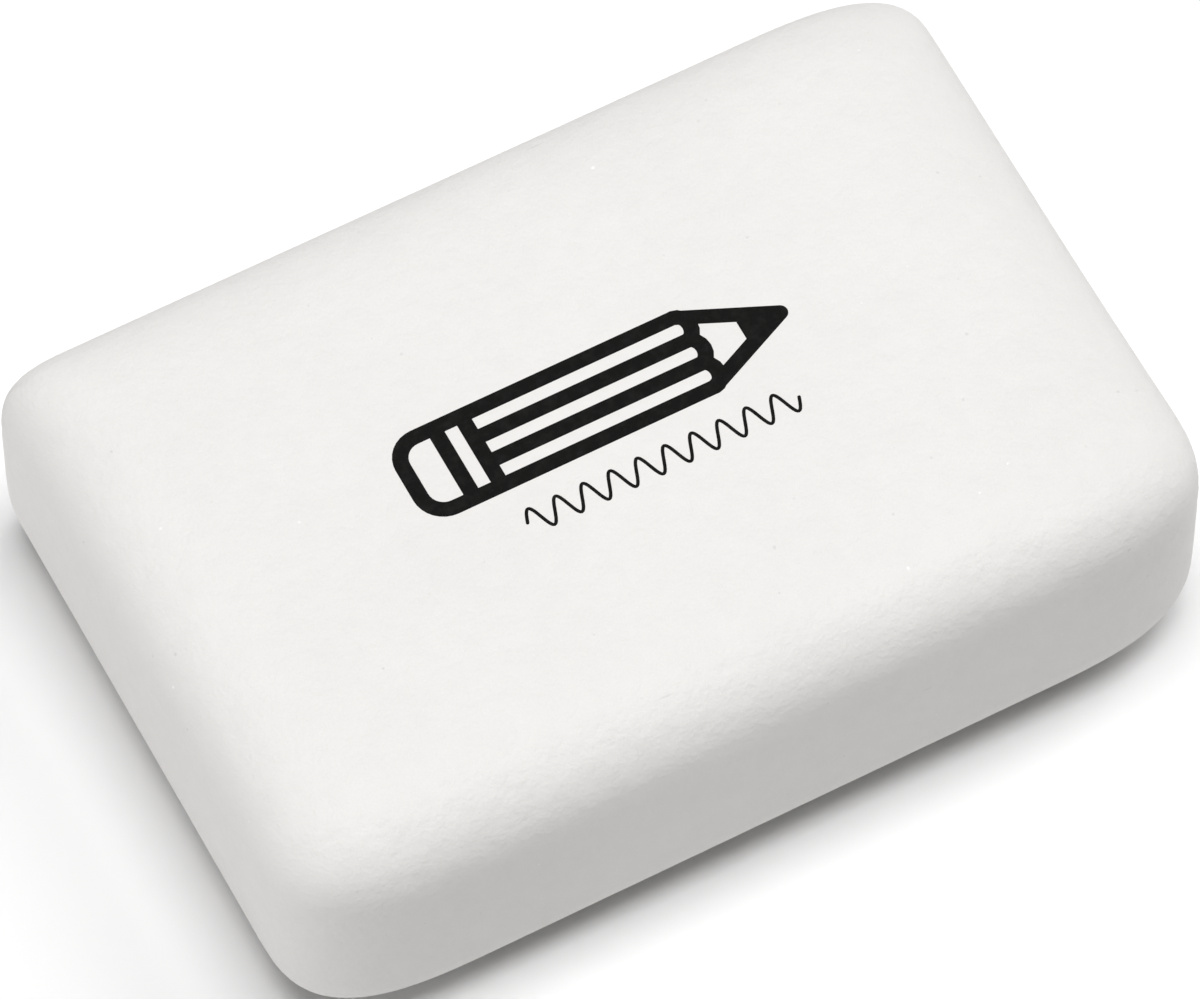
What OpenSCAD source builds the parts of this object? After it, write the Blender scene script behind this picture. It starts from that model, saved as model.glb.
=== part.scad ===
// Rubber eraser: one moulded block with softly rounded edges and corners.
// Millimetres, +Z up. The origin is the middle of the face that the block rests on.
// +X runs along the length and +Y across the width.

/* [Block] */
// Length, along X
block_length = 41; // [30:0.5:60]
// Width, along Y
block_width = 28; // [18:0.5:40]
// Thickness, from the resting face to the top face
block_thickness = 13; // [9:0.5:20]

/* [Rounding] */
// Radius of every edge, in section
edge_radius = 3.8; // [1:0.1:4.2]
// How much larger the upright corners are than the edge radius, seen from above
corner_extra = 0.4; // [0.2:0.1:3]

/* [Finish] */
// Colour of the rubber
rubber_color = "whitesmoke"; // [whitesmoke, white, ivory, lightgrey]

/* [Hidden] */
$fn = 96;
corner_radius = edge_radius + corner_extra;

// Rectangle standing on the X axis of the sketch, with all four corners rounded
module rounded_section(width, height, radius) {
    translate([-width / 2, radius])
        square([width, height - 2 * radius]);
    translate([-width / 2 + radius, 0])
        square([width - 2 * radius, height]);
    for (x = [-width / 2 + radius, width / 2 - radius], y = [radius, height - radius])
        translate([x, y])
            circle(r = radius);
}

// Straight part of the block, between two rounded ends, along X
module straight_bar(length, width) {
    rotate([90, 0, 90])
        translate([0, 0, -length / 2])
            linear_extrude(height = length)
                rounded_section(width, block_thickness, edge_radius);
}

// Upright round post with rounded rims, one for each corner
module corner_post() {
    rotate_extrude()
        intersection() {
            rounded_section(2 * corner_radius, block_thickness, edge_radius);
            square([corner_radius, block_thickness]);
        }
}

module eraser_block() {
    corner_x = block_length / 2 - corner_radius;
    corner_y = block_width / 2 - corner_radius;
    color(rubber_color)
        union() {
            straight_bar(2 * corner_x, block_width);
            rotate([0, 0, 90])
                straight_bar(2 * corner_y, block_length);
            for (x = [-corner_x, corner_x], y = [-corner_y, corner_y])
                translate([x, y, 0])
                    corner_post();
        }
}

eraser_block();
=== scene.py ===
import math

import bpy
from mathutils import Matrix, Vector


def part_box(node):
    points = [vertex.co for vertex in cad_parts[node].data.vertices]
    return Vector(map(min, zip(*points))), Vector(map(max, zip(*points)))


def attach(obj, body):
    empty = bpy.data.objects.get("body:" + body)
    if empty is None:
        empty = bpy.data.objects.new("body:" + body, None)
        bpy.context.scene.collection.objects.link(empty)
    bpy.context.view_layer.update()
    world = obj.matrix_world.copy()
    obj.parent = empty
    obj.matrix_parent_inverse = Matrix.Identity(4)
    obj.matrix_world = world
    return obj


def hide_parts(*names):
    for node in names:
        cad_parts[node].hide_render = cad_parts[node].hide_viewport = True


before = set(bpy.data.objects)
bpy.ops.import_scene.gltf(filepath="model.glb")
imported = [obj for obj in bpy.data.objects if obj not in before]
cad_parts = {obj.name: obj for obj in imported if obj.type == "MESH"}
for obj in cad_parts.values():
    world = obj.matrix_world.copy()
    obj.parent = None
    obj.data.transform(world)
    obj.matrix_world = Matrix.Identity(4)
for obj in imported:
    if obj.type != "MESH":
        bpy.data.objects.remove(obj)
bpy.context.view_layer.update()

bl_info = {
    "name": "Rubber Eraser",
    "version": (1, 0, 0),
    "blender": (4, 5, 0),
    "location": "3D View > Sidebar > Eraser",
    "description": "Builds a softly rounded white block eraser with a pencil mark printed on its top face",
    "category": "Add Mesh",
}

BLOCK_LOW, BLOCK_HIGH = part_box("eraser_block")
BLOCK_SIZE = BLOCK_HIGH - BLOCK_LOW
BLOCK_CENTRE = (BLOCK_LOW + BLOCK_HIGH) / 2
MM = 0.001

MATH = "ShaderNodeMath"
VECTOR = "ShaderNodeVectorMath"
XYZ = "ShaderNodeSeparateXYZ"
MIX = "ShaderNodeMix"
NOISE = "ShaderNodeTexNoise"
VORONOI = "ShaderNodeTexVoronoi"
MAP_RANGE = "ShaderNodeMapRange"
BUMP = "ShaderNodeBump"


# ---------------------------------------------------------------- settings

def length_property(name, description, default_mm, low_mm=0.0, high_mm=100.0):
    """A size that is set in metres and whose default is given in millimetres."""
    return bpy.props.FloatProperty(
        name=name,
        description=description,
        default=default_mm * MM,
        min=low_mm * MM,
        max=high_mm * MM,
        unit="LENGTH",
        precision=5,
    )


def share_property(name, description, default):
    """A share from 0 to 1."""
    return bpy.props.FloatProperty(
        name=name,
        description=description,
        default=default,
        min=0.0,
        max=1.0,
        subtype="FACTOR",
        precision=3,
    )


def hex_property(name, description, default):
    """A colour that is set as an sRGB hex value."""
    return bpy.props.StringProperty(name=name, description=description, default=default, maxlen=7)


class EraserBlockSettings(bpy.types.PropertyGroup):
    """Shape and finish of the rubber block. Its length, width and thickness are the frame's."""

    edge_reach: length_property("Edge reach", "How far an edge's rounding comes in on a broad face", 5.9)
    edge_depth: length_property("Edge depth", "How far an edge's rounding comes down the side walls", 4.84)
    edge_squareness: bpy.props.FloatProperty(
        name="Edge squareness",
        description="Power of the edge's section curve: 2 is an ellipse, more is squarer",
        default=3.2, min=2.0, max=6.0,
    )
    corner_squareness: bpy.props.FloatProperty(
        name="Corner squareness",
        description="Power of the upright corners' curve: 2 is an ellipse, more is squarer",
        default=3.1, min=2.0, max=6.0,
    )
    rim_corner: length_property("Rim corner", "Corner reach of the outline where the flat face starts", 3.0)
    # The tumbling that rounds such blocks wears each corner by a different amount.
    back_right: bpy.props.FloatVectorProperty(
        name="Back right corner", description="Reach of the corner along the length and the width",
        size=2, default=(7.8 * MM, 3.5 * MM), unit="LENGTH", precision=5,
    )
    back_left: bpy.props.FloatVectorProperty(
        name="Back left corner", description="Reach of the corner along the length and the width",
        size=2, default=(3.2 * MM, 2.4 * MM), unit="LENGTH", precision=5,
    )
    front_left: bpy.props.FloatVectorProperty(
        name="Front left corner", description="Reach of the corner along the length and the width",
        size=2, default=(8.5 * MM, 4.9 * MM), unit="LENGTH", precision=5,
    )
    front_right: bpy.props.FloatVectorProperty(
        name="Front right corner", description="Reach of the corner along the length and the width",
        size=2, default=(8.0 * MM, 5.1 * MM), unit="LENGTH", precision=5,
    )
    corner_sharpening: bpy.props.FloatVectorProperty(
        name="Corner sharpening",
        description="Added to the top edge's squareness at each corner, in the order of the corners above",
        size=4, default=(0.0, 0.0, 0.0, 0.9),
    )
    cells: bpy.props.IntVectorProperty(
        name="Cells", description="Mesh cells along the length, the width and the thickness",
        size=3, default=(120, 84, 6), min=2, max=400,
    )
    folded_rings: bpy.props.IntProperty(
        name="Folded rings", description="Rings of cells that each broad face folds over its edge",
        default=20, min=4, max=60,
    )
    rubber_hex: hex_property("Rubber colour", "sRGB hex colour of the clean white rubber", "#E7E5E3")
    dirt_hex: hex_property("Dirt colour", "sRGB hex colour that shading and dirt lean towards", "#8A8883")
    chalk_hex: hex_property("Chalk colour", "sRGB hex colour of the crumbs of chalk", "#FFFFFF")
    clouding: share_property("Clouding", "How far the uneven filler shades the white", 0.075)
    patching: share_property("Patching", "How far the shallow patches shade the white", 0.07)
    graining: share_property("Graining", "How far the fine grain shades the white", 0.016)
    dirt: share_property("Dirt", "How far specks of dirt and scuffs shade the white", 0.26)
    crumbs: share_property("Crumbs", "How far the crumbs of chalk whiten the rubber", 0.8)


class EraserPrintSettings(bpy.types.PropertyGroup):
    """The mark printed on the top face: a pencil in bold strokes over a fine wavy line."""

    pencil_length: length_property("Pencil length", "From the middle of the end stroke to the tip's", 16.3)
    pencil_height: length_property("Pencil height", "Between the middles of the outer strokes", 3.5)
    pencil_place: bpy.props.FloatVectorProperty(
        name="Pencil place", description="Middle of the pencil on the top face",
        size=2, default=(0.0, 1.0 * MM), unit="LENGTH", precision=5,
    )
    pencil_stroke: length_property("Pencil stroke", "Width of the bold strokes", 0.65)
    wave_length: length_property("Wave length", "Length of the wavy line", 12.0)
    wave_height: length_property("Wave height", "Height of the wavy line", 1.1)
    wave_place: bpy.props.FloatVectorProperty(
        name="Wave place", description="Middle of the wavy line on the top face",
        size=2, default=(1.0 * MM, -2.7 * MM), unit="LENGTH", precision=5,
    )
    wave_stroke: length_property("Wave stroke", "Width of the fine stroke", 0.14)
    waves: bpy.props.IntProperty(
        name="Waves", description="Waves in the wavy line", default=10, min=1, max=40,
    )
    film: length_property("Film", "How far the ink stands on the rubber", 0.012)
    ink_hex: hex_property("Ink colour", "sRGB hex colour of the printing ink", "#0C0C0B")
    thin_hex: hex_property("Thin ink colour", "sRGB hex colour of the ink where it took thinly", "#181817")


class EraserStageSettings(bpy.types.PropertyGroup):
    """Camera, light and floor."""

    azimuth: bpy.props.FloatProperty(
        name="Azimuth", description="Camera's turn round the block, 0 looks along +Y",
        default=math.radians(-27.93), subtype="ANGLE",
    )
    elevation: bpy.props.FloatProperty(
        name="Elevation", description="Camera's height above the horizon", default=math.radians(61.2),
        subtype="ANGLE",
    )
    distance: length_property("Distance", "From the camera to the middle of the block", 427.0, 50.0, 2000.0)
    lens: bpy.props.FloatProperty(
        name="Lens", description="Focal length on a 36 mm sensor", default=323.3, unit="CAMERA",
    )
    shift: bpy.props.FloatVectorProperty(
        name="Shift", description="Shift of the frame, in frame widths", size=2, default=(-0.0073, -0.0021),
    )
    fill: bpy.props.FloatProperty(name="Fill", description="Strength of the even fill light", default=0.028)
    floor_hex: hex_property("Floor colour", "sRGB hex colour of the floor", "#F2F2F2")


# ---------------------------------------------------------------- helpers

def first_output(node):
    """A node's first output that is in use with its settings."""
    return next(socket for socket in node.outputs if socket.enabled)


def add(tree, kind, inputs=(), **settings):
    """Adds a node with its settings, and links or sets its inputs, given in order or by name."""
    node = tree.nodes.new(kind)
    for name, value in settings.items():
        setattr(node, name, value)
    pairs = inputs.items() if isinstance(inputs, dict) else enumerate(inputs)
    for key, value in pairs:
        usable = [socket for socket in node.inputs if socket.enabled]
        target = usable[key] if isinstance(key, int) else next(s for s in usable if s.name == key)
        if isinstance(value, bpy.types.Node):
            value = first_output(value)
        if isinstance(value, bpy.types.NodeSocket):
            tree.links.new(value, target)
        else:
            target.default_value = value
    return node


def new_tree(name, sockets):
    """A geometry tree with its input sockets by name, and the group input's outputs."""
    tree = bpy.data.node_groups.new(name, "GeometryNodeTree")
    tree.interface.new_socket("Geometry", in_out="OUTPUT", socket_type="NodeSocketGeometry")
    for label, kind in {**sockets, "Material": "NodeSocketMaterial"}.items():
        tree.interface.new_socket(label, in_out="INPUT", socket_type=kind)
    return tree, add(tree, "NodeGroupInput").outputs


def linear(hex_colour):
    """An sRGB hex colour as linear RGBA."""
    values = [int(hex_colour[i:i + 2], 16) / 255 for i in (1, 3, 5)]
    rgb = [v / 12.92 if v <= 0.04045 else ((v + 0.055) / 1.055) ** 2.4 for v in values]
    return (*rgb, 1.0)


def new_material(name, values):
    """A material with its node tree and its shader, whose even values are set by socket name."""
    material = bpy.data.materials.new(name)
    material.use_nodes = True
    shader = material.node_tree.nodes["Principled BSDF"]
    for socket, value in values.items():
        shader.inputs[socket].default_value = value
    return material, material.node_tree, shader


def make_piece(name, tree, inputs, material, source=None):
    """Runs a geometry tree on a source mesh, or on none, and keeps the result as a plain mesh object."""
    carrier = bpy.data.objects.new(name + "_carrier", source or bpy.data.meshes.new(name + "_source"))
    bpy.context.scene.collection.objects.link(carrier)
    modifier = carrier.modifiers.new("Build", "NODES")
    modifier.node_group = tree
    sockets = {item.name: item.identifier for item in tree.interface.items_tree
               if item.item_type == "SOCKET" and item.in_out == "INPUT"}
    for label, value in {**inputs, "Material": material}.items():
        modifier[sockets[label]] = value
    evaluated = carrier.evaluated_get(bpy.context.evaluated_depsgraph_get())
    mesh = bpy.data.meshes.new_from_object(evaluated)
    mesh.name = name
    if not mesh.polygons:
        raise RuntimeError(f"{name}: the geometry tree made no faces")
    bpy.data.objects.remove(carrier)
    piece = bpy.data.objects.new(name, mesh)
    bpy.context.scene.collection.objects.link(piece)
    return piece


# ---------------------------------------------------------------- materials

# Sizes of the rubber's and the ink's patterns, in millimetres.
CLOUD_SIZE = 9.0
PATCH_SIZE = 1.1
GRAIN_SIZE = 0.16
SWAY_SIZE, SWAY = 0.35, 0.16
SPECK_SPACING, SPECK_RADIUS = 0.8, 0.1
SCUFF_SPACING = (3.2, 0.5, 0.5)
INK_SPOT_SIZE = 0.5

# Share of the cells that hold each mark. A scuff reaches over a share of its cell.
SPECK_SHARE, CRUMB_SHARE, SCUFF_SHARE = 0.25, 0.09, 0.012
SCUFF_REACH = 0.14
SCUFF_TURN = math.radians(28)

# Heights in the relief, in millimetres.
PATCH_HEIGHT = 0.08
GRAIN_HEIGHT = 0.02
INK_GRAIN_HEIGHT = 0.02


def moulded_rubber(settings):
    """White synthetic rubber, moulded and then tumbled: matt, faintly clouded, finely grained and specked."""
    # Synthetic rubber has an IOR of about 1.5, and chalk filler makes its skin dull.
    material, tree, shader = new_material("moulded white synthetic rubber", {"IOR": 1.5, "Roughness": 0.62})
    # From here on the pattern is in millimetres. The warped copy makes round marks irregular.
    place = add(tree, VECTOR, [add(tree, "ShaderNodeTexCoord").outputs["Object"], 1 / MM], operation="SCALE")
    sway = add(tree, NOISE, {"Vector": place, "Scale": 1 / SWAY_SIZE, "Detail": 1.0})
    bend = add(tree, VECTOR, [sway.outputs["Color"], (SWAY, SWAY, SWAY), place], operation="MULTIPLY_ADD")

    # The filler isn't mixed quite evenly, which clouds the white over several millimetres.
    cloud = add(tree, NOISE, {"Vector": place, "Scale": 1 / CLOUD_SIZE, "Detail": 2.0})
    # Tumbling leaves shallow patches a millimetre across, and a fine grain. The grain is drawn a
    # little coarser than the real one, to show.
    patch = add(tree, NOISE, {"Vector": place, "Scale": 1 / PATCH_SIZE, "Detail": 2.0, "Roughness": 0.65})
    grain = add(tree, NOISE, {"Vector": place, "Scale": 1 / GRAIN_SIZE, "Detail": 1.0, "Roughness": 0.6})
    # Specks of dirt, each of its own size up to a tenth of a millimetre in radius. The cells fill the
    # depth too, so the surface meets few of them.
    cells = add(tree, VORONOI, {"Vector": bend, "Scale": 1 / SPECK_SPACING})
    lots = add(tree, XYZ, [cells.outputs["Color"]])
    dot_size = add(tree, MATH, [lots.outputs["Y"], SPECK_RADIUS / SPECK_SPACING], operation="MULTIPLY")
    dot = add(tree, MAP_RANGE, {"Value": cells, "From Max": dot_size, "To Min": 1.0, "To Max": 0.0})
    dirty = add(tree, MATH, [lots.outputs["X"], 1 - SPECK_SHARE], operation="GREATER_THAN")
    specks = add(tree, MATH, [dot, dirty], operation="MULTIPLY")
    # A few other cells hold a crumb of chalk filler, whiter than the rubber.
    chalky = add(tree, MATH, [lots.outputs["X"], CRUMB_SHARE], operation="LESS_THAN")
    crumbs = add(tree, MATH, [dot, chalky], operation="MULTIPLY")
    # A few short scuffs, up to 0.9 mm by 0.14 mm, from blocks knocking together.
    slant = add(tree, "ShaderNodeMapping", {
        "Vector": bend,
        "Rotation": (0.0, 0.0, SCUFF_TURN),
        "Scale": [1 / spacing for spacing in SCUFF_SPACING],
    })
    knocks = add(tree, VORONOI, {"Vector": slant, "Scale": 1.0})
    knock = add(tree, MAP_RANGE, {"Value": knocks, "From Max": SCUFF_REACH, "To Min": 1.0, "To Max": 0.0})
    knock_lots = add(tree, XYZ, [knocks.outputs["Color"]])
    knocked = add(tree, MATH, [knock_lots.outputs["X"], 1 - SCUFF_SHARE], operation="GREATER_THAN")
    scuffs = add(tree, MATH, [knock, knocked], operation="MULTIPLY")

    # Colour: each of them leans a little from the clean white towards the dirt's grey.
    shade = add(tree, MATH, [cloud, settings.clouding], operation="MULTIPLY")
    for pattern, share in (
        (patch, settings.patching),
        (grain, settings.graining),
        (specks, settings.dirt),
        (scuffs, settings.dirt),
    ):
        shade = add(tree, MATH, [pattern, share, shade], operation="MULTIPLY_ADD")
    white, grey = linear(settings.rubber_hex), linear(settings.dirt_hex)
    rubber = add(tree, MIX, [shade, white, grey], data_type="RGBA")
    whitened = add(tree, MATH, [crumbs, settings.crumbs], operation="MULTIPLY")
    colour = add(tree, MIX, [whitened, rubber, linear(settings.chalk_hex)], data_type="RGBA")
    tree.links.new(first_output(colour), shader.inputs["Base Color"])

    # The patches and the grain stand up as relief.
    patch_relief = add(tree, MATH, [patch, PATCH_HEIGHT], operation="MULTIPLY")
    relief = add(tree, MATH, [grain, GRAIN_HEIGHT, patch_relief], operation="MULTIPLY_ADD")
    bump = add(tree, BUMP, {"Height": relief, "Distance": MM, "Strength": 1.0})
    tree.links.new(bump.outputs["Normal"], shader.inputs["Normal"])
    return material


def printing_ink(settings):
    """Black pad-printing ink: a thin dry film, matt like the rubber, and greyer where it took thinly."""
    # The pigment leaves the dried film with hardly any gloss.
    material, tree, shader = new_material("black pad-printing ink", {"IOR": 1.5, "Specular IOR Level": 0.08})
    place = add(tree, VECTOR, [add(tree, "ShaderNodeTexCoord").outputs["Object"], 1 / MM], operation="SCALE")
    # The pad lays the film unevenly over half a millimetre. Thin spots are greyer and smoother.
    take = add(tree, NOISE, {"Vector": place, "Scale": 1 / INK_SPOT_SIZE, "Detail": 3.0, "Roughness": 0.6})
    thin = add(tree, MAP_RANGE, {"Value": take, "From Min": 0.45, "From Max": 0.75})
    full_tone, thin_tone = linear(settings.ink_hex), linear(settings.thin_hex)
    colour = add(tree, MIX, [thin, full_tone, thin_tone], data_type="RGBA")
    tree.links.new(first_output(colour), shader.inputs["Base Color"])
    roughness = add(tree, MAP_RANGE, {"Value": thin, "To Min": 0.64, "To Max": 0.54})
    tree.links.new(first_output(roughness), shader.inputs["Roughness"])
    # The rubber's grain shows through the film.
    grain = add(tree, NOISE, {"Vector": place, "Scale": 1 / GRAIN_SIZE, "Detail": 2.0, "Roughness": 0.6})
    relief = add(tree, MATH, [grain, INK_GRAIN_HEIGHT], operation="MULTIPLY")
    bump = add(tree, BUMP, {"Height": relief, "Distance": MM, "Strength": 1.0})
    tree.links.new(bump.outputs["Normal"], shader.inputs["Normal"])
    return material


def studio_paint(colour):
    """White emulsion paint of a studio sweep, rolled on: dead matt, so no light shows in it."""
    values = {"Base Color": colour, "Roughness": 0.9, "Specular IOR Level": 0.0}
    material, _, _ = new_material("matt white studio paint", values)
    return material


# ---------------------------------------------------------------- geometry trees

# Power by which a corner's sharpening fades along the edges that meet there.
SHARPENING_FADE = 2.0
# Straight steps that draw one wave, and the sides of the disc that ends a stroke.
STEPS_PER_WAVE = 24
STROKE_END_SIDES = 36


def corner_values(tree, given, sides):
    """A corner's own input: its reach along X and Y, and in Z what it adds to the edge's squareness."""
    right = add(tree, MATH, [sides.outputs["X"], 0.0], operation="GREATER_THAN")
    back = add(tree, MATH, [sides.outputs["Y"], 0.0], operation="GREATER_THAN")
    front_corner = add(tree, MIX, [right, given["Front Left"], given["Front Right"]], data_type="VECTOR")
    back_corner = add(tree, MIX, [right, given["Back Left"], given["Back Right"]], data_type="VECTOR")
    return add(tree, MIX, [back, front_corner, back_corner], data_type="VECTOR")


def squared_quarter(tree, turn, squareness):
    """How far a quarter of a squared-off ellipse has gone in and up at a turn, each from 0 to 1."""
    power = add(tree, MATH, [2.0, squareness], operation="DIVIDE")
    level = add(tree, MATH, [add(tree, MATH, [turn], operation="COSINE"), 0.0], operation="MAXIMUM")
    inward = add(tree, MATH, [1.0, add(tree, MATH, [level, power], operation="POWER")], operation="SUBTRACT")
    upward = add(tree, MATH, [add(tree, MATH, [turn], operation="SINE"), power], operation="POWER")
    return inward, upward


def squared_corner(tree, along, ring_half, reach, squareness):
    """Draws in a point on a ring's rectangle to the squared-off ellipse of its corner."""
    # The point is split into the corner's centre and the way out from it.
    straight = add(tree, VECTOR, [ring_half, reach], operation="SUBTRACT")
    centre = add(tree, VECTOR, [along, straight], operation="MINIMUM")
    beyond = add(tree, VECTOR, [along, centre], operation="SUBTRACT")
    outward = add(tree, VECTOR, [beyond, reach], operation="DIVIDE")
    raised = add(tree, VECTOR, [outward, squareness], operation="POWER")
    total = add(tree, VECTOR, [raised, (1, 1, 0)], operation="DOT_PRODUCT")
    root = add(tree, MATH, [1.0, squareness], operation="DIVIDE")
    stretch = add(tree, MATH, [total, root], operation="POWER")
    bulge = add(tree, VECTOR, [beyond, stretch], operation="DIVIDE")
    return add(tree, VECTOR, [centre, bulge], operation="ADD")


def block_tree():
    """A grid box whose broad faces fold over rounded edges and worn corners.

    Each broad face is a set of rectangular rings of cells. The outer rings fold down over the edge
    along a squared-off ellipse, and the inner ones lie flat. Within a ring, each corner is drawn
    round with a squared-off ellipse of its own reach.
    """
    tree, given = new_tree("Rounded rubber block", {
        "Size": "NodeSocketVector", "Base Height": "NodeSocketFloat", "Cells": "NodeSocketVector",
        "Folded Rings": "NodeSocketFloat", "Edge Reach": "NodeSocketFloat", "Edge Depth": "NodeSocketFloat",
        "Edge Squareness": "NodeSocketFloat", "Corner Squareness": "NodeSocketFloat",
        "Rim Corner": "NodeSocketFloat", "Back Right": "NodeSocketVector", "Back Left": "NodeSocketVector",
        "Front Left": "NodeSocketVector", "Front Right": "NodeSocketVector"})

    # The box has one unit of length for each cell, so positions on it count cells.
    corners = add(tree, XYZ, [add(tree, VECTOR, [given["Cells"], (1, 1, 1)], operation="ADD")])
    box = add(tree, "GeometryNodeMeshCube", {
        "Size": given["Cells"], "Vertices X": corners.outputs["X"],
        "Vertices Y": corners.outputs["Y"], "Vertices Z": corners.outputs["Z"]})
    place = add(tree, "GeometryNodeInputPosition")
    side = add(tree, VECTOR, [place], operation="SIGN")
    cell = add(tree, VECTOR, [place], operation="ABSOLUTE")
    half_cells = add(tree, VECTOR, [given["Cells"], 0.5], operation="SCALE")
    to_edge = add(tree, XYZ, [add(tree, VECTOR, [half_cells, cell], operation="SUBTRACT")])
    ring = add(tree, MATH, [to_edge.outputs["X"], to_edge.outputs["Y"]], operation="MINIMUM")

    sides = add(tree, XYZ, [place])
    corner = corner_values(tree, given, sides)
    own_reach = add(tree, VECTOR, [corner, (1, 1, 0)], operation="MULTIPLY")

    # Where the point is on its ring: 1 across the side it is on, and along that side from 0 at its
    # middle to 1 at a corner. The product of the two is how near the point is to a corner.
    ring_cells = add(tree, VECTOR, [half_cells, ring], operation="SUBTRACT")
    ring_place = add(tree, VECTOR, [cell, ring_cells], operation="DIVIDE")
    ring_sides = add(tree, XYZ, [ring_place])
    nearness = add(tree, MATH, [ring_sides.outputs["X"], ring_sides.outputs["Y"]], operation="MULTIPLY")
    weight = add(tree, MATH, [nearness, SHARPENING_FADE], operation="POWER")
    # Only the top edge is sharper at a corner. The resting face's edge is as square all round.
    upper = add(tree, XYZ, [side]).outputs["Z"]
    on_top = add(tree, MATH, [upper, 0.0], operation="MAXIMUM")
    top_weight = add(tree, MATH, [weight, on_top], operation="MULTIPLY")
    sharper = add(tree, XYZ, [corner]).outputs["Z"]
    squareness = add(tree, MATH, [top_weight, sharper, given["Edge Squareness"]], operation="MULTIPLY_ADD")

    # How far the ring has turned over the edge, from 0 on the side wall to a quarter turn on top.
    fold = add(tree, MATH, [ring, given["Folded Rings"]], operation="DIVIDE", use_clamp=True)
    turn = add(tree, MATH, [fold, math.pi / 2], operation="MULTIPLY")
    inward, upward = squared_quarter(tree, turn, squareness)
    rise = add(tree, MATH, [upward, given["Edge Depth"]], operation="MULTIPLY")

    # Past the fold the rings step evenly to the middle line of the face.
    half = add(tree, VECTOR, [given["Size"], 0.5], operation="SCALE")
    half_size, half_count = add(tree, XYZ, [half]), add(tree, XYZ, [half_cells])
    flat_rings = add(tree, MATH, [half_count.outputs["Y"], given["Folded Rings"]], operation="SUBTRACT")
    past = add(tree, MATH, [ring, given["Folded Rings"]], operation="SUBTRACT")
    flat_share = add(tree, MATH, [past, flat_rings], operation="DIVIDE", use_clamp=True)
    flat_width = add(tree, MATH, [half_size.outputs["Y"], given["Edge Reach"]], operation="SUBTRACT")
    folded = add(tree, MATH, [inward, given["Edge Reach"]], operation="MULTIPLY")
    inset = add(tree, MATH, [flat_share, flat_width, folded], operation="MULTIPLY_ADD")
    ring_half = add(tree, VECTOR, [half, inset], operation="SUBTRACT")

    # Corner reach on this ring: the corner's own on the side wall, the rim's where the top goes flat.
    shrink = add(tree, MATH, [1.0, flat_share], operation="SUBTRACT")
    rim_reach = add(tree, MATH, [given["Rim Corner"], shrink], operation="MULTIPLY")
    reach = add(tree, MIX, [inward, own_reach, rim_reach], data_type="VECTOR")
    along = add(tree, VECTOR, [ring_place, ring_half], operation="MULTIPLY")
    rounded = squared_corner(tree, along, ring_half, reach, given["Corner Squareness"])
    planned = add(tree, XYZ, [add(tree, VECTOR, [rounded, side], operation="MULTIPLY")])

    # The side wall is straight between the two folds.
    wall_half = add(tree, MATH, [half_size.outputs["Z"], given["Edge Depth"]], operation="SUBTRACT")
    wall_share = add(tree, MATH, [sides.outputs["Z"], half_count.outputs["Z"]], operation="DIVIDE")
    middle = add(tree, MATH, [half_size.outputs["Z"], given["Base Height"]], operation="ADD")
    wall = add(tree, MATH, [wall_share, wall_half, middle], operation="MULTIPLY_ADD")
    height = add(tree, MATH, [upper, rise, wall], operation="MULTIPLY_ADD")
    position = add(tree, "ShaderNodeCombineXYZ", [planned.outputs["X"], planned.outputs["Y"], height])
    shaped = add(tree, "GeometryNodeSetPosition", {"Geometry": box, "Position": position})
    smooth = add(tree, "GeometryNodeSetShadeSmooth", {"Geometry": shaped})
    finish_tree(tree, smooth, given["Material"])
    return tree


def ink_film(tree, given, paths):
    """Flat bars of ink along the paths with a disc at each end, joined into one film."""
    section = add(tree, "GeometryNodeCurvePrimitiveQuadrilateral",
                  {"Width": given["Stroke Width"], "Height": given["Film Thickness"]})
    level = add(tree, "GeometryNodeSetCurveNormal", {"Curve": paths}, mode="Z_UP")
    bars = add(tree, "GeometryNodeCurveToMesh", {"Curve": level, "Profile Curve": section, "Fill Caps": True})
    radius = add(tree, MATH, [given["Stroke Width"], 0.5], operation="MULTIPLY")
    disc = add(tree, "GeometryNodeMeshCylinder",
               {"Vertices": STROKE_END_SIDES, "Radius": radius, "Depth": given["Film Thickness"]})
    ends = add(tree, "GeometryNodeCurveEndpointSelection")
    caps = add(tree, "GeometryNodeInstanceOnPoints",
               {"Points": paths, "Selection": ends, "Instance": disc.outputs["Mesh"]})
    discs = add(tree, "GeometryNodeRealizeInstances", {"Geometry": caps})
    film = add(tree, "GeometryNodeMeshBoolean", {"Mesh": bars, "Self Intersection": True},
               operation="UNION", solver="EXACT")
    tree.links.new(discs.outputs["Geometry"], film.inputs["Mesh"])
    placed = add(tree, "GeometryNodeTransform",
                 {"Geometry": film, "Translation": given["Place"], "Scale": given["Scale"]})
    flat = add(tree, "GeometryNodeSetShadeSmooth", {"Geometry": placed, "Shade Smooth": False})
    finish_tree(tree, flat, given["Material"])
    return tree


def stroke_tree():
    """Round-ended strokes of ink film along every chain of edges in the source mesh."""
    tree, given = new_tree("Printed strokes", {
        "Drawing": "NodeSocketGeometry", "Stroke Width": "NodeSocketFloat",
        "Film Thickness": "NodeSocketFloat", "Place": "NodeSocketVector", "Scale": "NodeSocketVector"})
    return ink_film(tree, given, add(tree, "GeometryNodeMeshToCurve", {"Mesh": given["Drawing"]}))


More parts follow.
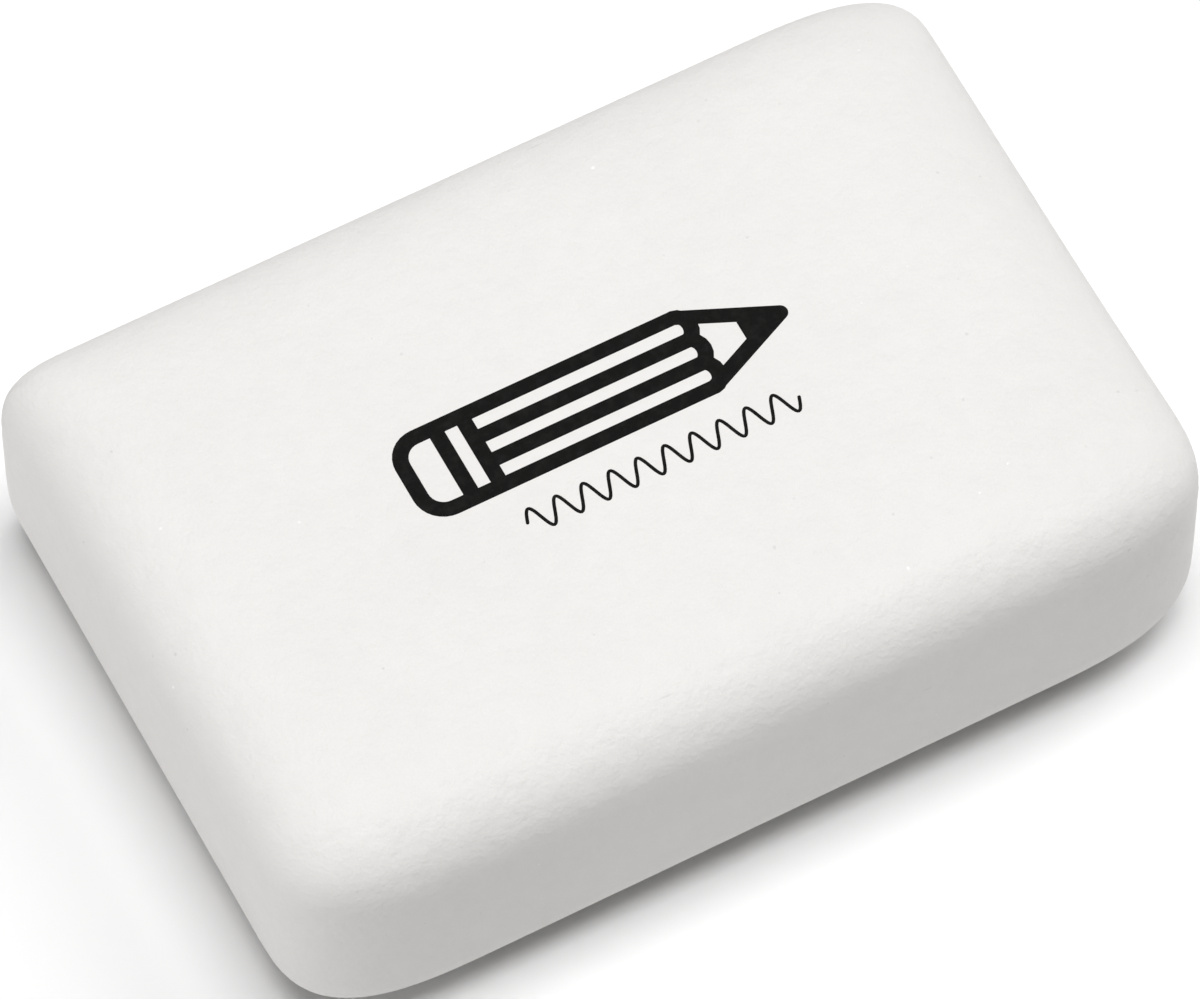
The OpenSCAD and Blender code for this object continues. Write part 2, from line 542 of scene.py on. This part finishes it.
def wave_tree():
    """One fine wavy stroke of ink film, drawn along X."""
    tree, given = new_tree("Printed wave", {
        "Length": "NodeSocketFloat", "Height": "NodeSocketFloat", "Waves": "NodeSocketFloat",
        "Steps": "NodeSocketInt", "Stroke Width": "NodeSocketFloat", "Film Thickness": "NodeSocketFloat",
        "Place": "NodeSocketVector", "Scale": "NodeSocketVector"})
    line = add(tree, "GeometryNodeCurvePrimitiveLine", {"End": (1, 0, 0)})
    steps = add(tree, "GeometryNodeResampleCurve", {"Curve": line, "Count": given["Steps"]})
    share = add(tree, "GeometryNodeSplineParameter")
    across = add(tree, MATH, [share, 0.5], operation="SUBTRACT")
    along = add(tree, MATH, [across, given["Length"]], operation="MULTIPLY")
    turns = add(tree, MATH, [given["Waves"], 2 * math.pi], operation="MULTIPLY")
    angle = add(tree, MATH, [share, turns], operation="MULTIPLY")
    sine = add(tree, MATH, [angle], operation="SINE")
    half = add(tree, MATH, [given["Height"], 0.5], operation="MULTIPLY")
    swing = add(tree, MATH, [sine, half], operation="MULTIPLY")
    position = add(tree, "ShaderNodeCombineXYZ", [along, swing, 0.0])
    wave = add(tree, "GeometryNodeSetPosition", {"Geometry": steps, "Position": position})
    return ink_film(tree, given, wave)


def finish_tree(tree, geometry, material):
    """Ends a geometry tree in real geometry with its material."""
    real = add(tree, "GeometryNodeRealizeInstances", {"Geometry": geometry})
    finished = add(tree, "GeometryNodeSetMaterial", {"Geometry": real, "Material": material})
    add(tree, "NodeGroupOutput", [finished])


# ---------------------------------------------------------------- operators

class ERASER_OT_block(bpy.types.Operator):
    """Builds the rubber block over the frame's block"""

    bl_idname = "eraser.block"
    bl_label = "Rubber Block"

    def execute(self, context):
        settings = context.scene.eraser_block
        sharper = settings.corner_sharpening
        block = make_piece("rubber_block", block_tree(), {
            "Size": BLOCK_SIZE,
            "Base Height": BLOCK_LOW.z,
            "Cells": Vector(settings.cells),
            "Folded Rings": float(settings.folded_rings),
            "Edge Reach": settings.edge_reach,
            "Edge Depth": settings.edge_depth,
            "Edge Squareness": settings.edge_squareness,
            "Corner Squareness": settings.corner_squareness,
            "Rim Corner": settings.rim_corner,
            "Back Right": (*settings.back_right, sharper[0]),
            "Back Left": (*settings.back_left, sharper[1]),
            "Front Left": (*settings.front_left, sharper[2]),
            "Front Right": (*settings.front_right, sharper[3]),
        }, moulded_rubber(settings))
        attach(block, "root")
        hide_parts("eraser_block")
        return {"FINISHED"}


class ERASER_OT_print(bpy.types.Operator):
    """Prints a pencil and a wavy line on the top face"""

    bl_idname = "eraser.print"
    bl_label = "Printed Mark"

    # The film is sunk this far into the rubber, so no gap shows under it.
    SUNK = 0.01 * MM

    def execute(self, context):
        settings = context.scene.eraser_print
        ink = printing_ink(settings)
        middle = BLOCK_HIGH.z + (settings.film - self.SUNK) / 2
        # The film is joined in millimetres, where the joining is exact enough.
        common = {"Film Thickness": (settings.film + self.SUNK) / MM, "Scale": (MM, MM, MM)}
        drawing = self.pencil_drawing(settings.pencil_length / MM, settings.pencil_height / MM)
        pencil = make_piece("printed_pencil", stroke_tree(), {
            **common,
            "Stroke Width": settings.pencil_stroke / MM,
            "Place": (*settings.pencil_place, middle),
        }, ink, drawing)
        wave = make_piece("printed_wave", wave_tree(), {
            **common,
            "Length": settings.wave_length / MM,
            "Height": settings.wave_height / MM,
            "Waves": float(settings.waves),
            "Steps": settings.waves * STEPS_PER_WAVE + 1,
            "Stroke Width": settings.wave_stroke / MM,
            "Place": (*settings.wave_place, middle),
        }, ink)
        for piece in (pencil, wave):
            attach(piece, "root")
        return {"FINISHED"}

    def pencil_drawing(self, length, height):
        """The pencil's strokes as points and edges, in millimetres about its middle, tip to the right."""
        half, top = length / 2, height / 2
        round_end, ferrule, band, shoulder, scallop, lead = 1.0, 1.85, 3.05, 3.85, 0.45, 1.4
        points, edges = [], []

        def stroke(*places):
            first = len(points)
            points.extend((x, y, 0.0) for x, y in places)
            edges.extend((first + i, first + i + 1) for i in range(len(places) - 1))

        def arc(centre, radii, start, end, steps=8):
            turns = [math.radians(start + (end - start) * i / steps) for i in range(steps + 1)]
            return [(centre[0] + radii[0] * math.cos(t), centre[1] + radii[1] * math.sin(t)) for t in turns]

        left, neck = -half + round_end, half - shoulder
        upper = arc((left, top - round_end), (round_end, round_end), 90, 180)
        lower = arc((left, round_end - top), (round_end, round_end), 180, 270)
        stroke((half, 0), (neck, top), *upper, *lower, (neck, -top), (half, 0))
        for x in (-half + ferrule, -half + band):
            stroke((x, -top), (x, top))
        for y in (-top / 3, top / 3):
            stroke((-half + band, y), (neck, y))
        for y in (-2 * top / 3, 0, 2 * top / 3):
            stroke(*arc((neck, y), (scallop, top / 3), -90, 90))
        stroke((half - lead, -top * lead / shoulder), (half - lead, top * lead / shoulder))
        stroke((half - lead, 0), (half, 0))
        mesh = bpy.data.meshes.new("pencil_drawing")
        mesh.from_pydata(points, edges, [])
        return mesh


class ERASER_OT_stage(bpy.types.Operator):
    """Sets the floor, the lights and the camera"""

    bl_idname = "eraser.stage"
    bl_label = "Stage"

    LIGHT_DISTANCE = 3.0
    LIGHT_SIZE = 1.8

    def execute(self, context):
        settings = context.scene.eraser_stage
        self.make_sweep(settings)
        self.make_lights(settings)
        self.make_camera(context, settings)
        context.scene.view_settings.view_transform = "Standard"
        world = bpy.data.worlds.new("Studio")
        world.use_nodes = True
        world.node_tree.nodes["Background"].inputs["Color"].default_value = (1, 1, 1, 1)
        world.node_tree.nodes["Background"].inputs["Strength"].default_value = settings.fill
        context.scene.world = world
        return {"FINISHED"}

    def make_sweep(self, settings):
        """A flat round floor, and a wall that curls up from its rim all round."""
        flat_radius, curl_radius, wall_top, curl_steps = 0.9, 0.3, 0.25, 12
        floor = [(radius, 0.0) for radius in (0.02, 0.1, 0.4, flat_radius)]
        wall = []
        for step in range(curl_steps + 1):
            angle = step / curl_steps * math.pi / 2
            wall.append((flat_radius + curl_radius * math.sin(angle), curl_radius * (1 - math.cos(angle))))
        wall.append((flat_radius + curl_radius, curl_radius + wall_top))
        floor_piece = self.turned("studio_floor", floor, closed=True)
        wall_piece = self.turned("studio_wall", wall, closed=False)
        paint = studio_paint(linear(settings.floor_hex))
        for piece in (floor_piece, wall_piece):
            piece.data.materials.append(paint)
        # The wall is only there to be seen: the lights and the fill reach the block past it.
        wall_piece.visible_diffuse = False
        wall_piece.visible_shadow = False

    def turned(self, name, profile, closed, segments=128):
        """A profile of radius and height turned round the middle, closed there with a fan if asked."""
        points, faces = [], []
        for radius, height in profile:
            for turn in range(segments):
                angle = 2 * math.pi * turn / segments
                points.append((radius * math.cos(angle), radius * math.sin(angle), BLOCK_LOW.z + height))
        if closed:
            faces.append(tuple(range(segments)))
        for row in range(len(profile) - 1):
            for turn in range(segments):
                after = (turn + 1) % segments
                low, high = row * segments, (row + 1) * segments
                faces.append((low + turn, high + turn, high + after, low + after))
        mesh = bpy.data.meshes.new(name)
        mesh.from_pydata(points, [], faces)
        mesh.shade_smooth()
        piece = bpy.data.objects.new(name, mesh)
        bpy.context.scene.collection.objects.link(piece)
        return piece

    def make_lights(self, settings):
        """Large soft lights round the block, each by its azimuth from +X, its elevation and its power."""
        lights = (
            ("overhead", 0.0, 90.0, 75.6),
            ("right", 0.0, 54.0, 34.4),
            ("low_left", 180.0, 12.0, 28.8),
        )
        for name, azimuth, elevation, power in lights:
            data = bpy.data.lights.new(name, "AREA")
            data.shape = "DISK"
            data.size = self.LIGHT_SIZE
            data.energy = power
            light = bpy.data.objects.new(name, data)
            bpy.context.scene.collection.objects.link(light)
            turn, lift = math.radians(azimuth), math.radians(elevation)
            way = Vector((math.cos(lift) * math.cos(turn), math.cos(lift) * math.sin(turn), math.sin(lift)))
            light.location = BLOCK_CENTRE + way * self.LIGHT_DISTANCE
            light.rotation_euler = way.to_track_quat("Z", "Y").to_euler()
            light.visible_camera = False

    def make_camera(self, context, settings):
        """A long lens that looks at the middle of the block from its azimuth and elevation."""
        data = bpy.data.cameras.new("Camera")
        data.lens = settings.lens
        data.shift_x, data.shift_y = settings.shift
        data.clip_start = 0.01
        camera = bpy.data.objects.new("Camera", data)
        context.scene.collection.objects.link(camera)
        turn, lift = settings.azimuth, settings.elevation
        back = Vector((math.sin(turn) * math.cos(lift), -math.cos(turn) * math.cos(lift), math.sin(lift)))
        camera.location = BLOCK_CENTRE + back * settings.distance
        camera.rotation_euler = (-back).to_track_quat("-Z", "Y").to_euler()
        context.scene.camera = camera


# ---------------------------------------------------------------- panel and main

class ERASER_PT_panel(bpy.types.Panel):
    """Lists the eraser's operators and settings"""

    bl_idname = "ERASER_PT_panel"
    bl_label = "Rubber Eraser"
    bl_space_type = "VIEW_3D"
    bl_region_type = "UI"
    bl_category = "Eraser"

    def draw(self, context):
        layout = self.layout
        for operator, group in (("eraser.block", "eraser_block"), ("eraser.print", "eraser_print"),
                                ("eraser.stage", "eraser_stage")):
            layout.operator(operator)
            settings = getattr(context.scene, group)
            for name in settings.__annotations__:
                layout.prop(settings, name)


CLASSES = (EraserBlockSettings, EraserPrintSettings, EraserStageSettings,
           ERASER_OT_block, ERASER_OT_print, ERASER_OT_stage, ERASER_PT_panel)


def register():
    for cls in CLASSES:
        bpy.utils.register_class(cls)
    bpy.types.Scene.eraser_block = bpy.props.PointerProperty(type=EraserBlockSettings)
    bpy.types.Scene.eraser_print = bpy.props.PointerProperty(type=EraserPrintSettings)
    bpy.types.Scene.eraser_stage = bpy.props.PointerProperty(type=EraserStageSettings)


def unregister():
    del bpy.types.Scene.eraser_stage
    del bpy.types.Scene.eraser_print
    del bpy.types.Scene.eraser_block
    for cls in reversed(CLASSES):
        bpy.utils.unregister_class(cls)


def main():
    register()
    bpy.ops.eraser.stage()
    bpy.ops.eraser.block()
    bpy.ops.eraser.print()


if __name__ == "__main__":
    main()
